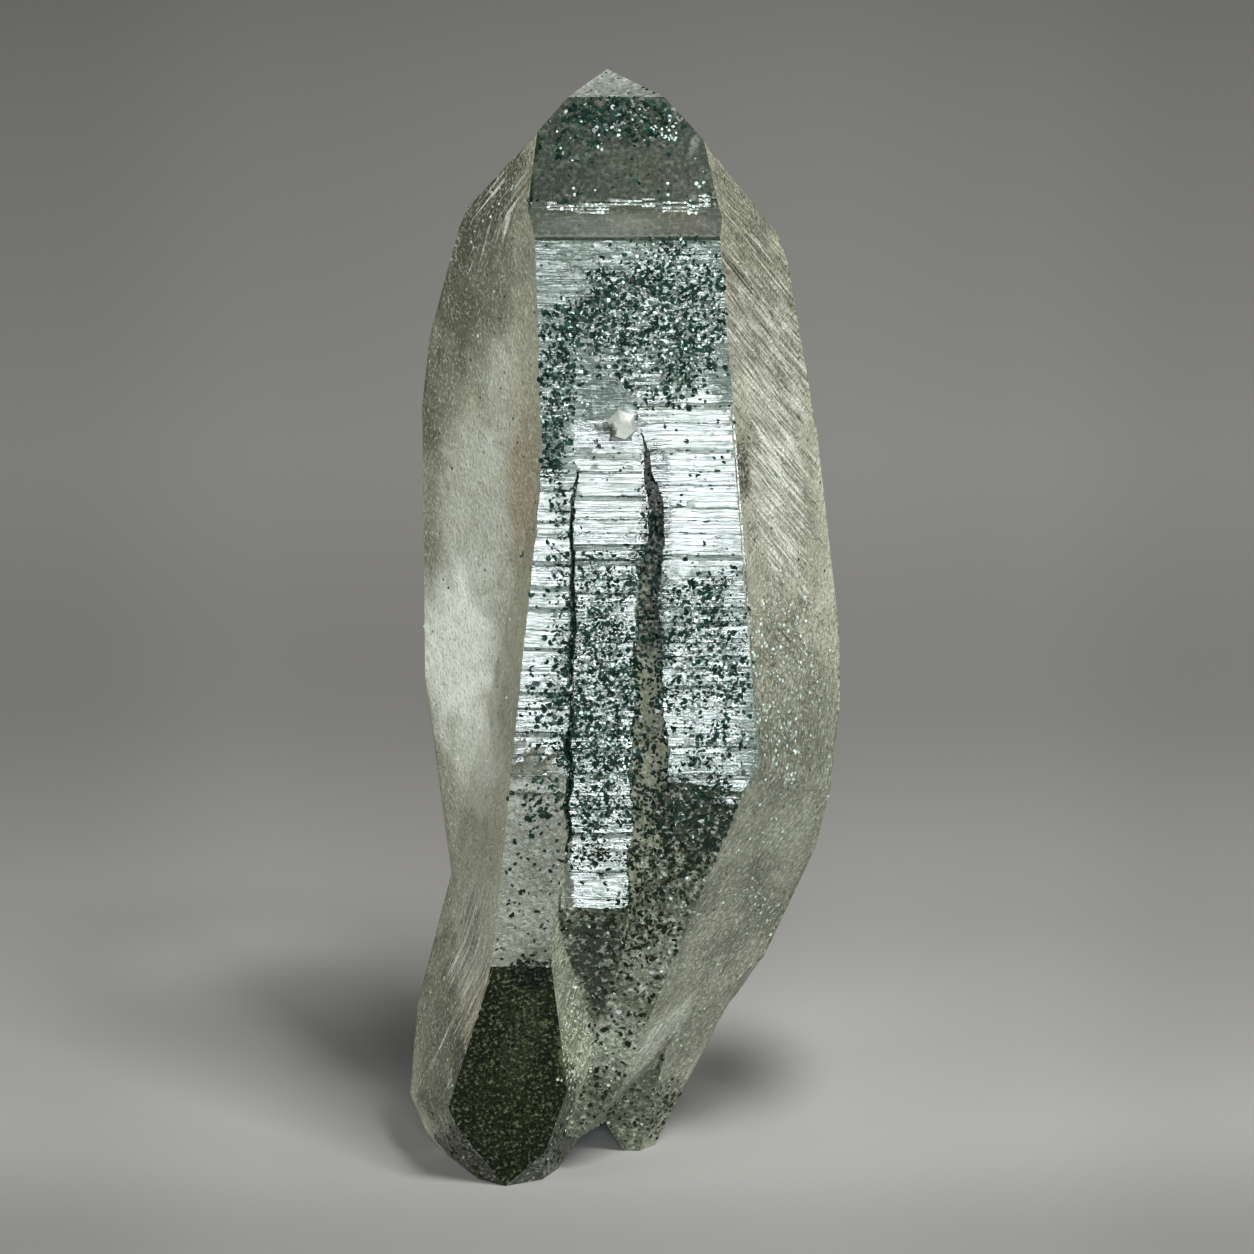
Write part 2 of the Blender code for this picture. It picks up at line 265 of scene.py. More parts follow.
# one finish for each kind of face: dark and pale cloud, green chlorite, warm brown, frosted white
# and the colour of the growth lines; specks are scale and amount; lines are which set, how dark and
# how deep; glitter is scale and spread; grit is how strong the pale and dark grains are; squeeze
# under 1 draws the glittering facets out along that axis; paint is what a face starts with before
# the patches below
quartzLooks = {
    "striatedFront": {
        "dark": (0.070, 0.107, 0.085), "pale": (0.20, 0.255, 0.215), "green": (0.012, 0.030, 0.020),
        "warm": (0.20, 0.19, 0.14), "white": (0.52, 0.60, 0.57), "line": (0.044, 0.078, 0.066),
        "roughness": (0.08, 0.18), "transmission": 0.50, "specks": (2700.0, 0.08), "grain": 3200.0,
        "bump": 0.04, "lines": ("level", 0.25, 0.10), "glitter": (3500.0, 0.55), "flat": True,
        "squeeze": (0.40, 1.0, 1.15), "grit": 0.35, "paint": {"flakes": 0.03, "streak": 1.0},
    },
    "lobe": {
        "dark": (0.078, 0.087, 0.063), "pale": (0.180, 0.194, 0.153), "green": (0.016, 0.026, 0.015),
        "warm": (0.17, 0.155, 0.10), "white": (0.50, 0.54, 0.47), "line": (0.045, 0.05, 0.032),
        "roughness": (0.20, 0.42), "transmission": 0.30, "specks": (2800.0, 0.02), "grain": 2800.0,
        "bump": 0.55, "lines": ("level", 0.25, 0.15), "glitter": (3200.0, 0.5), "grit": 0.5,
        "paint": {"flakes": 0.05, "glitter": 0.2, "streak": 0.3},
    },
    "valley": {
        "dark": (0.090, 0.102, 0.058), "pale": (0.190, 0.206, 0.132), "green": (0.014, 0.021, 0.010),
        "warm": (0.16, 0.145, 0.09), "white": (0.48, 0.50, 0.43), "line": (0.06, 0.062, 0.04),
        "roughness": (0.25, 0.50), "transmission": 0.25, "specks": (2700.0, 0.10), "grain": 2600.0,
        "bump": 0.45, "lines": ("level", 0.2, 0.05), "glitter": (3300.0, 0.4), "grit": 0.8,
        "paint": {"flakes": 0.55, "warm": 0.15, "green": 0.12},
    },
    "crevice": {
        "dark": (0.050, 0.062, 0.045), "pale": (0.14, 0.155, 0.115), "green": (0.012, 0.020, 0.013),
        "warm": (0.07, 0.05, 0.03), "white": (0.28, 0.30, 0.25), "line": (0.02, 0.024, 0.016),
        "roughness": (0.15, 0.40), "transmission": 0.20, "specks": (2700.0, 0.15), "grain": 2600.0,
        "bump": 0.45, "lines": ("level", 0.2, 0.05), "glitter": (3300.0, 0.5), "grit": 1.0,
        "paint": {"flakes": 0.75, "green": 0.30, "glints": 0.40, "glitter": 0.5},
    },
    "knob": {
        "dark": (0.19, 0.21, 0.18), "pale": (0.38, 0.41, 0.37), "green": (0.05, 0.06, 0.04),
        "warm": (0.25, 0.22, 0.15), "white": (0.66, 0.69, 0.66), "line": (0.1, 0.1, 0.08),
        "roughness": (0.06, 0.14), "transmission": 0.25, "specks": (2500.0, 0.0), "grain": 2600.0,
        "bump": 0.06, "lines": ("level", 0.0, 0.0), "glitter": (3000.0, 0.0), "flat": True,
        "grit": 0.3, "paint": {"frost": 0.15},
    },
    "lowerPanel": {
        "dark": (0.044, 0.054, 0.030), "pale": (0.125, 0.140, 0.092), "green": (0.011, 0.020, 0.008),
        "warm": (0.16, 0.14, 0.09), "white": (0.44, 0.48, 0.39), "line": (0.026, 0.032, 0.016),
        "roughness": (0.22, 0.50), "transmission": 0.25, "specks": (2500.0, 0.10), "grain": 2300.0,
        "bump": 0.85, "lines": ("lowSlant", 0.5, 0.4), "glitter": (3000.0, 0.6), "grit": 1.1,
        "paint": {"flakes": 0.22, "green": 0.12, "glints": 0.10, "glitter": 0.4, "streak": 0.4},
    },
    "lowerRight": {
        "dark": (0.120, 0.130, 0.088), "pale": (0.295, 0.310, 0.234), "green": (0.026, 0.034, 0.016),
        "warm": (0.19, 0.175, 0.115), "white": (0.66, 0.70, 0.61), "line": (0.045, 0.052, 0.030),
        "roughness": (0.30, 0.55), "transmission": 0.22, "specks": (2800.0, 0.015), "grain": 3000.0,
        "bump": 1.20, "lines": ("lowSlant", 0.55, 0.9), "glitter": (3200.0, 0.6), "grit": 0.6,
        "paint": {"glitter": 0.40, "streak": 0.60, "glints": 0.05, "shade": 0.04},
    },
    "footPanel": {
        "dark": (0.002, 0.004, 0.001), "pale": (0.006, 0.009, 0.002), "green": (0.001, 0.002, 0.001),
        "warm": (0.05, 0.05, 0.02), "white": (0.110, 0.128, 0.072), "line": (0.001, 0.002, 0.001),
        "roughness": (0.45, 0.75), "transmission": 0.03, "specks": (2700.0, 0.36), "grain": 3300.0,
        "bump": 1.00, "lines": ("lowSlant", 0.1, 0.1), "glitter": (3000.0, 0.4), "grit": 1.1,
        "shine": 0.06, "paint": {"green": 0.05, "glitter": 0.15},
    },
    "darkTip": {
        "dark": (0.012, 0.023, 0.012), "pale": (0.024, 0.039, 0.018), "green": (0.006, 0.014, 0.009),
        "warm": (0.050, 0.044, 0.020), "white": (0.17, 0.22, 0.17), "line": (0.009, 0.016, 0.009),
        "roughness": (0.24, 0.36), "transmission": 0.45, "specks": (2800.0, 0.07), "grain": 2900.0,
        "bump": 0.05, "lines": ("level", 0.10, 0.02), "glitter": (2800.0, 0.30), "grit": 0.6,
        "shine": 0.15, "paint": {"flakes": 0.05, "green": 0.06, "glints": 0.03},
    },
    "tipLedge": {
        "dark": (0.13, 0.15, 0.13), "pale": (0.38, 0.41, 0.37), "green": (0.03, 0.04, 0.03),
        "warm": (0.2, 0.19, 0.14), "white": (0.74, 0.79, 0.75), "line": (0.05, 0.07, 0.055),
        "roughness": (0.08, 0.25), "transmission": 0.35, "specks": (2800.0, 0.10), "grain": 3600.0,
        "bump": 0.30, "lines": ("level", 0.2, 0.1), "glitter": (3600.0, 0.8), "flat": True,
        "grit": 1.2, "paint": {"frost": 0.12, "glints": 3.2, "glitter": 1.0},
    },
    "clearBand": {
        "dark": (0.014, 0.021, 0.009), "pale": (0.032, 0.041, 0.020), "green": (0.02, 0.028, 0.016),
        "warm": (0.10, 0.09, 0.06), "white": (0.36, 0.40, 0.34), "line": (0.040, 0.048, 0.036),
        "roughness": (0.30, 0.44), "transmission": 0.38, "specks": (2700.0, 0.02), "grain": 2800.0,
        "bump": 0.06, "lines": ("level", 0.30, 0.03), "glitter": (3000.0, 0.3), "grit": 0.35,
        "shine": 0.06, "paint": {"flakes": 0.01, "glints": 0.02, "streak": 0.6},
    },
    "capFacet": {
        "dark": (0.160, 0.178, 0.150), "pale": (0.30, 0.325, 0.285), "green": (0.04, 0.05, 0.03),
        "warm": (0.2, 0.19, 0.14), "white": (0.55, 0.58, 0.53), "line": (0.08, 0.085, 0.06),
        "roughness": (0.30, 0.50), "transmission": 0.30, "specks": (3300.0, 0.08), "grain": 2600.0,
        "bump": 0.55, "lines": ("level", 0.2, 0.1), "glitter": (3000.0, 0.2), "grit": 1.0,
        "paint": {"flakes": 0.0},
    },
    "leftSide": {
        "dark": (0.205, 0.208, 0.145), "pale": (0.340, 0.344, 0.254), "green": (0.014, 0.017, 0.006),
        "warm": (0.245, 0.205, 0.125), "white": (0.74, 0.785, 0.70), "line": (0.062, 0.064, 0.036),
        "roughness": (0.34, 0.58), "transmission": 0.22, "specks": (2900.0, 0.006), "grain": 3300.0,
        "bump": 1.35, "lines": ("leftSlant", 0.90, 0.9), "glitter": (3400.0, 0.60), "grit": 0.60,
        "paint": {"glitter": 0.30, "shade": 0.04, "glints": 0.015},
    },
    "rightSide": {
        "dark": (0.245, 0.247, 0.184), "pale": (0.415, 0.419, 0.324), "green": (0.020, 0.023, 0.010),
        "warm": (0.26, 0.22, 0.14), "white": (0.74, 0.765, 0.67), "line": (0.070, 0.068, 0.040),
        "roughness": (0.32, 0.56), "transmission": 0.22, "specks": (2900.0, 0.006), "grain": 3300.0,
        "bump": 1.35, "lines": ("rightSlant", 0.80, 0.9), "glitter": (3200.0, 0.85), "grit": 0.55,
        "paint": {"glitter": 0.20, "shade": 0.02, "glints": 0.01},
    },
}
quartzLooks = {name: {**plainLook, **look} for name, look in quartzLooks.items()}
regionNames = list(quartzLooks)
sideRegions = ("lowerRight", "capFacet", "leftSide", "rightSide")  # the others belong to the front


def quartzMaterial(name, look):
    material, tree, shader = newMaterial(name)
    place = addNode(tree, "ShaderNodeTexCoord", -1700).outputs["Object"]
    speckScale, speckAmount = look["specks"]
    dust = addNode(tree, "ShaderNodeGroup", -1450, 100,
                   {"Vector": place, "Speck Scale": speckScale, "Speck Amount": speckAmount,
                    "Grain Scale": look["grain"]}, node_tree=speckleGroup).outputs
    painted = {}
    for row, attribute in enumerate(("chlorite", "frost", "warm", "shade", "streak", "glitter")):
        node = addNode(tree, "ShaderNodeAttribute", -1700, -300 - 200 * row, attribute_name=attribute)
        painted[attribute] = node.outputs["Fac"]
    # growth lines
    lineSet, lineTone, lineRelief = look["lines"]
    direction, (width, length) = lineSets[lineSet]
    outward, along, across = lineDirections(*direction)
    drawn = addNode(tree, "ShaderNodeGroup", -1450, -200,
                    {"Vector": place, "Turn": Matrix((across, along, outward)).transposed().to_euler(),
                     "Line Size": (width * mm, length * mm, length * mm)}, node_tree=lineGroup).outputs
    lines = multiply(tree, drawn["Lines"], painted["streak"], -1200, -200)
    strands = multiply(tree, drawn["Strands"], painted["streak"], -1200, -350)
    # the green ends at a border that the grain breaks up
    ragged = mapRange(tree, dust["Grain"], 0.0, 1.0, -1200, -550, *quartzGlass["greenBreak"])
    green = doMath(tree, "MULTIPLY_ADD", {0: painted["chlorite"], 1: quartzGlass["greenEdge"], 2: ragged},
                   -1000, -400, clamp=True)
    grains = {}
    for row, kind in enumerate(("paleGrain", "darkGrain")):
        low, high, strength = quartzGlass[kind]
        grains[kind] = mapRange(tree, dust["Grain"], low, high, -700, -700 - 250 * row,
                                toHigh=strength * look["grit"])
    # colour, one layer over the other
    layers = (("pale", dust["Clouds"]), ("warm", painted["warm"]), ("white", painted["frost"]),
              ("shade", painted["shade"]), ("green", green),
              ("white", multiply(tree, strands, quartzGlass["strands"] * lineTone, -700, -450)),
              ("line", multiply(tree, lines, lineTone, -700, -300)), ("white", grains["paleGrain"]),
              ("line", grains["darkGrain"]), ("green", dust["Specks"]))
    body = look["dark"]
    for step, (colour, amount) in enumerate(layers):
        body = mixColours(tree, body, look[colour], amount, -1000 + 100 * step, 0)
    # rough like the grain, and smoother where it glitters
    dull = mapRange(tree, dust["Grain"], 0.0, 1.0, -500, -250, *look["roughness"])
    smoother = mapRange(tree, painted["glitter"], quartzGlass["glittersFrom"], 1.0, -500, -400,
                        *quartzGlass["smoothed"])
    # relief: grain and lines, then glitter
    relief = {0: lines, 1: -lineRelief, 2: multiply(tree, dust["Grain"], look["bump"], -900, -1000)}
    bump = addNode(tree, "ShaderNodeBump", -500, -1000,
                   {"Height": doMath(tree, "MULTIPLY_ADD", relief, -700, -1000), "Strength": 1.0,
                    "Distance": quartzGlass["relief"]})
    facetScale, spread = look["glitter"]
    facets = addNode(tree, "ShaderNodeGroup", -300, -1000,
                     {"Vector": place, "Normal": bump.outputs["Normal"], "Squeeze": look["squeeze"],
                      "Facet Scale": facetScale,
                      "Spread": multiply(tree, painted["glitter"], spread, -500, -1250)},
                     node_tree=glitterGroup)
    feed(tree, shader, {
        "Base Color": body, "Roughness": multiply(tree, dull, smoother, -300, -300),
        "Normal": facets.outputs["Normal"], "IOR": quartzGlass["ior"],
        "Specular IOR Level": look["shine"], "Transmission Weight": look["transmission"],
    })
    inside = addNode(tree, "ShaderNodeVolumeAbsorption", 0, -400,
                     {"Color": quartzGlass["absorbs"], "Density": quartzGlass["density"]})
    feed(tree, tree.nodes["Material Output"], {"Volume": inside.outputs["Volume"]})
    return material


# the crystal; lengths in millimetres and angles in degrees
crystalShape = {
    "merge": 0.001,
    "flatWithin": 0.3,
    "finishHeights": (36.0, 20.0, 80.0),  # the front is cut here, where its finish changes
    "frontStarts": 24.4,
    "frontEnds": 80.2,
    "steps": (0.16, 0.52),  # height of one growth step
    "stepLip": 0.048,
    "plainSteps": (1.5, 0.15),  # lean and unevenness of the steps outside the growth bands
    "unevenDepth": 0.09,
    "leanVaries": 0.15,
    "bandEdge": 1.4,  # how far the border of a growth band wanders up and down
    # upright cuts: from, to, width, slant, and how much the width varies
    "frontColumns": (-9.0, 10.2, 0.55, 0.12, (0.75, 1.25)),
    "ledgeColumns": (-8.5, 8.5, 0.30, 0.30, (0.7, 1.3)),
    "wave": 0.16,
    "ledgeHeight": (81.7, 84.2),
    "ledgeRow": 0.12,
    "ledgeWidth": 0.50,
    "ledgeShown": 0.48,  # share of the ledge's little faces that are there
    "ledgeSunk": (0.0, 0.10, -0.04),
    "knobCentre": (-0.1, 65.15),
    "knobGrows": 1.3,
    "grooves": (25.0, 30.0, 62.0, 66.0),  # heights where their wander comes in and goes out
    "waver": (0.42, 0.14),  # slow and quick wander of the grooves
    "pinch": 0.50,  # how far the narrow groove closes
    "pinchWidth": 0.9,
    "bow": 0.85,
    "bowCentre": (1.8, 57.5),
    "bowSize": (2.0, 5.5),
    "sideBlend": (37.0, 50.0),  # heights where the right side turns into the lower right
    "lobeBlend": (36.0, 40.5),  # and where the lobe turns into the left rib
    "slantedStart": 0.3,
    "slantedGap": (0.45, 1.10),
    "slantedWidth": 0.16,
    "slantedDepth": (0.04, 0.14),
    "slantedFade": (44.0, 54.0),  # heights between which they come in
    "evenEdge": 0.56,
    "evenEdgeBehind": 1.5,
    "behind": 3.0,
    "evenRounds": 9,
    "standing": 0.3,  # what is lower than this keeps its place, so that the crystal stands
    "swell": 0.06,  # slow unevenness of the other faces
    "pitting": 0.035,
    "ridges": 0.13,
    "ridgeSize": (0.85, 7.0),
    "creaseAngle": 21.0,
    "seed": 21,
}

# growth bands of the front: x from, x to, z from, z to, lean of each step's face, how uneven
growthBands = {
    "rightRibTop": (1.4, 10.0, 53.0, 67.6, 14.0, 0.04),
    "rightRibLow": (3.2, 10.2, 34.2, 53.0, 14.6, 0.50),
    "centreRibTop": (-4.0, 1.4, 54.2, 65.4, 14.0, 0.15),
    "centreRibLow": (-4.6, 0.9, 30.2, 54.2, 15.2, 0.65),
    "whitePatch": (-4.8, 0.6, 23.0, 30.2, 16.3, 0.25),
    "leftRib": (-9.2, -4.0, 35.0, 60.5, 14.8, 0.20),
    "upperPanelRight": (-2.6, 8.3, 66.0, 82.0, 5.0, 0.80),
    "upperPanelLeft": (-8.0, -2.6, 58.0, 82.0, 3.5, 0.60),
}

# how patches are painted: where one starts to fade and where it ends, against its half size; how
# far that edge wanders, slowly and finely; how deep a patch reaches; and the edges of the crystal
# that stay free of plates
paintSettings = {
    "edge": (0.62, 1.20), "wander": (0.34, 0.18), "depth": 9.0, "farthest": 2.2,
    "freeBelow": (0.5, 0.9), "freeBeside": (17.4, 0.4), "freeBefore": -14.65,
}

# patches on the sides, by what they paint: where, half width and half height, lean to the right in
# degrees, how strong
sideSpots = {
    "shade": {
        "upperSide": ((-12, -6, 77), (5, 9), 15, 0.62),
        "upperLeft": ((-15.6, -2, 68), (3.4, 12), 8, 0.44),
        "leftEdge": ((-17.2, 1, 57), (2.8, 14), 0, 0.36),
        "patchRim": ((-9.9, -8, 42), (0.7, 7.5), -6, 0.2),
        "belowPatch": ((-12.8, -3.4, 25), (4.8, 8), 0, 0.2),
        "lowLeft": ((-15.8, -4.6, 12), (2.8, 9), 0, 0.5),
        "lowEdgeLeft": ((-14.4, -8.5, 4.6), (3, 4.6), 0, 0.55),
        "topRight": ((9.4, -7.4, 81), (2.2, 6), -22, 0.3),
        "rightEdge": ((14.2, -5, 73), (0.9, 8), -12, 0.24),
        "besideFront": ((12.8, -9.6, 41), (5.5, 9.5), 0, 0.28),
        "lowEdge": ((13, -2.4, 19.5), (1.6, 9.5), -32, 0.26),
        "facetSide": ((-3.9, -11, 17), (1.6, 4), 0, 0.3),
    },
    "green": {
        "upperLeft": ((-14.6, -3, 73), (2.4, 7), 12, 0.1),
        "leftTip": ((-11, -6.5, 81), (1.3, 6.5), 30, 0.42),
        "crackSpecks": ((-8.2, -10.9, 53.6), (0.18, 0.8), 20, 0.45),
        "lowStain": ((-12.8, -6, 21), (3.2, 8), 0, 0.1),
        "lowLeft": ((-15.4, -4.6, 11.5), (2.4, 7.5), 0, 0.16),
        "footBase": ((-9.5, -9.5, 1.4), (7.6, 3.8), 0, 1.6),
        "footEdgeLeft": ((-12.6, -11.3, 7.8), (1.5, 5.4), -10, 1.05),
        "footEdgeRight": ((-5.2, -11.5, 6.5), (1.4, 5.2), 8, 1),
        "rightFoot": ((2.4, -4, 4), (4.2, 3.6), 0, 0.5),
        "topRight": ((9.4, -7.4, 81.6), (1.5, 4.6), -22, 0.22),
        "roughStain": ((9.5, -12.9, 61.2), (0.8, 3), -4, 0.5),
        "roughStainLow": ((10.3, -12.5, 55.5), (0.8, 2.4), -10, 0.28),
        "besideFront": ((12.6, -9.6, 41.5), (4.4, 8), 0, 0.17),
        "lowSide": ((10, -8, 26), (5, 9), -20, 0.08),
    },
    "streak": {
        "leftTip": ((-10.6, -6.6, 81), (2.6, 7), 30, 1),
        "foot": ((-13, -8, 14), (3.5, 12), 12, 0.85),
        "topRight": ((11, -8.5, 73), (4.8, 14), -18, 1),
        "middle": ((12.8, -8, 58), (4, 10), -12, 0.85),
    },
    "glints": {
        "leftTip": ((-10.4, -6.7, 81.6), (0.8, 5), 30, 0.2),
        "besideFront": ((12.6, -9.8, 43), (4.2, 9), 0, 0.55),
        "lowEdge": ((13, -2.4, 19.5), (1.4, 9.5), -32, 0.4),
        "ridge": ((-0.8, -9, 9.6), (2.6, 2.2), 0, 0.45),
        "facetSide": ((-3.9, -11, 12.4), (1.6, 4.2), 0, 1.6),
    },
    "frost": {
        "upperSide": ((-9.6, -9.4, 66.5), (1.8, 6.5), 0, 0.24),
        "middle": ((-12.2, -4.6, 56), (4.4, 9), 0, 0.34),
        "palePatch": ((-14, -2, 43.6), (4.4, 6), 10, 0.58),
        "palePatchHalo": ((-13.4, -2.6, 43), (6.2, 9), 10, 0.3),
        "palePatchLow": ((-12.2, -4.4, 35.5), (3, 5), 0, 0.34),
        "lowLeft": ((-12.6, -9.5, 20.5), (1.6, 5.5), 6, 0.26),
        "paleStripe": ((12.6, -8.4, 57), (2.4, 7.5), -10, 0.6),
        "rightSide": ((12, -7.6, 67), (3.2, 10), -14, 0.38),
        "ridge": ((3.4, -8.6, 12.5), (3.4, 1.2), -50, 0.3),
    },
    "warm": {
        "frontEdge": ((-8.3, -10.9, 61), (1.5, 8.5), 0, 0.75),
        "footBand": ((-12.6, -11, 14), (1.5, 6), 15, 0.55),
    },
    "flakes": {
        "footBase": ((-9.5, -10.5, 3), (6, 3.5), 0, 0.25),
        "rightFoot": ((2, -4.5, 4), (3.4, 3.2), 0, 0.3),
    },
    "glitter": {
        "besideFront": ((12.8, -9.6, 42.5), (5, 10), 0, 0.95),
        "lowSide": ((9, -6, 20), (6, 11), -30, 0.4),
        "facetSide": ((-3.9, -11, 12.6), (1.6, 5), 0, 0.8),
    },
}

# the same for the front; a strength under 0 clears a place
frontSpots = {
    "green": {
        "footPanelTop": ((-7.4, -14.1, 19.4), (2.3, 1.3), 0, 0.9),
        "upperPanel": ((2.4, -14, 73.4), (5.6, 6.4), 0, 0.46),
        "leftColumn": ((-5.2, -14, 67.5), (1.9, 7), 0, 0.28),
        "clearPatch": ((-0.4, -14, 67.6), (2.8, 1.8), 0, 0.14),
        "upperCorner": ((-4.8, -14, 76.6), (3.2, 3.4), 0, 0.27),
        "centreRib": ((-2.2, -14.1, 41), (2.6, 11), 0, 0.43),
        "rightRib": ((6.8, -14.2, 44.5), (3.6, 7.6), 0, 0.33),
        "lobe": ((-6.2, -14.2, 34.6), (2.6, 2), 0, 0.14),
        # painted shade inside the wide groove, in the chlorite's green
        "groove": ((2.6, -12.7, 57), (1.4, 7.4), 0, 0.8),
        # painted shade on the knob's lower left, in the chlorite's green
        "knobRim": ((-1.5, -14.4, 64.3), (0.9, 1.3), 35, 0.75),
        "valley": ((2.2, -12.7, 48), (1.6, 2.6), 0, 0.5),
        "lowerRight": ((6.4, -13.6, 32.4), (4, 3.4), 0, 0.85),
        "darkTriangle": ((-2.4, -12.6, 20.8), (2.2, 4.2), 0, 0.6),
        # painted shade inside the slit, in the chlorite's green
        "slit": ((-2.2, -10.8, 16.6), (0.6, 2.4), -12, 1),
        "tip": ((0, -9.4, 88.2), (7.5, 1.9), 0, 0.45),
        "clearBand": ((4.2, -13.5, 81.6), (3, 1), 0, 0.18),
    },
    "flakes": {
        "footPanelTop": ((-7.3, -14.1, 19.8), (2.4, 1.2), 0, 0.6),
        "upperPanel": ((3.1, -14, 73.4), (5.7, 7), 0, 1.15),
        "upperPanelLeft": ((-2.2, -14, 74.2), (1.9, 4.4), 0, 0.75),
        "leftColumn": ((-5, -14, 71), (2.2, 4.6), 0, 1.15),
        "leftStrip": ((-5.5, -14, 64.6), (1.3, 5), 3, 1.25),
        "whitePatch": ((-2, -14.1, 29.2), (2.8, 1.5), 0, 0.7),
        "clearPatch": ((-1.6, -14, 66.4), (2.4, 1.7), 0, -1.2),
        "clearPatchRight": ((1.7, -14, 69.4), (1.3, 2.2), 0, -0.75),
        "upperCorner": ((-5.2, -14, 77.4), (2.9, 2.2), 0, -0.9),
        "centreRibTop": ((-1.6, -14.1, 52.5), (2.6, 2.4), 0, 0.6),
        "centreRib": ((-1.9, -14.1, 41.5), (2.9, 12), 0, 1.2),
        "rightRib": ((6.6, -14.2, 44.6), (3.8, 8.2), 0, 1),
        "rightRibTop": ((5.4, -14.2, 51.4), (3.6, 1.8), -12, 0.4),
        "rightRibBand": ((6.4, -14.2, 40.7), (3.6, 1.3), 0, -0.55),
        "rightRibFoot": ((6.6, -14.2, 36), (3.4, 1.5), 0, 0.35),
        "narrowGroove": ((-4.7, -14.1, 44), (1, 11), 2, 0.7),
        "narrowGrooveTop": ((-4.9, -14.1, 57.5), (0.7, 3.5), 0, 0.4),
        "leftRib": ((-6.6, -14.2, 41.8), (1.8, 3.6), 0, 0.55),
        "leftRibTop": ((-5.6, -14.2, 50), (0.8, 5), 0, 0.3),
        "lobe": ((-6.6, -14.2, 34.2), (2, 2.6), 0, 0.55),
        "lobeLow": ((-7.4, -14.2, 27), (2, 4), 0, 0.05),
        "groove": ((2, -12.7, 52), (1.1, 6.5), 0, 0.7),
        "valleyEdge": ((0.9, -13.2, 38), (0.6, 12), 2, 0.6),
        "lowerRight": ((5.4, -13.2, 31.5), (4.4, 4.8), 10, 0.95),
        "lowerMiddle": ((1.6, -11.9, 24), (2.8, 5), 10, 0.45),
        "tip": ((0.4, -8.6, 88.9), (4.6, 1.6), 0, 1.05),
        "tipLeft": ((-3.6, -9.6, 87.2), (2.2, 1.7), 0, 0.5),
        "clearBand": ((1.5, -13.5, 81.5), (8, 1.1), 0, -1.5),
    },
    "frost": {
        "footPanel": ((-8.2, -14.1, 13.6), (1.8, 5), 10, 0.07),
        # white strokes of frost in the upper corner, partly painted reflection of the growth steps
        "cornerStrokeOne": ((-5.9, -14, 78), (1.5, 0.26), 0, 0.85),
        "cornerStrokeTwo": ((-3.4, -14, 77.2), (1.3, 0.3), 0, 0.95),
        "cornerStrokeThree": ((-4.6, -14, 76.2), (1.1, 0.24), 0, 0.8),
        "cornerStrokeFour": ((-3, -14, 75), (1, 0.34), 0, 0.85),
        "cornerStrokeFive": ((-6.2, -14, 75.3), (1.3, 0.22), 0, 0.6),
        # frost on the rib tops, partly painted highlight: it lightens the ground between the steps that
        # reflect the front lamp
        "rightRib": ((5.8, -14.2, 60.2), (4.8, 7.4), 0, 0.55),
        "centreRib": ((-1.4, -14.1, 60), (3, 5.2), 0, 0.24),
        "leftRib": ((-6.6, -14.2, 50.5), (2.6, 8.5), 0, 0.14),
        # painted highlight on the knob's upper right
        "knob": ((0.5, -14.5, 66), (0.6, 0.5), 0, 0.7),
        "lowerMiddle": ((2.4, -11, 20.5), (2.4, 4), 20, 0.2),
        "facet": ((-4, -11, 12.6), (1.2, 3), 0, 0.5),
        "lowMiddle": ((-0.6, -9.6, 12), (2.6, 3), 0, 0.3),
        "tipCrack": ((5.6, -9.9, 86.9), (0.35, 0.9), 25, 0.6),
        "clearBand": ((-2, -13.4, 81.2), (4.5, 0.9), 0, 0.12),
    },
    "glints": {
        "upperPanel": ((3, -14, 73.8), (5.6, 6.4), 0, 1.3),
        "leftColumn": ((-5, -14, 69), (2.2, 6.5), 0, 0.7),
        "centreRib": ((-1.9, -14.1, 42), (2.8, 12.5), 0, 1.1),
        "rightRib": ((6.6, -14.2, 44), (3.6, 8.5), 0, 0.9),
        "facet": ((-3.8, -10.8, 11.6), (1.5, 3.6), 0, 0.8),
        "lowMiddle": ((-0.8, -9.2, 10.4), (2.6, 3), 0, 0.5),
        "tip": ((3.5, -9.2, 87.9), (1.3, 0.9), 0, 1.5),
        "tipLeft": ((-2, -9.4, 87.6), (4, 1.2), 0, 0.22),
        "tipRight": ((6, -12, 83.4), (1, 0.9), 0, 0.6),
        "clearBand": ((1.5, -13.5, 81.3), (8, 0.8), 0, -1.5),
    },
    "warm": {
        "groove": ((2.6, -12.7, 58), (1.5, 6), 0, 0.6),
        "tip": ((3.4, -11.4, 84.9), (3.2, 1.4), 0, 0.26),
        "clearBand": ((3.2, -13.5, 81.5), (3.8, 1), 0, 0.45),
    },
}


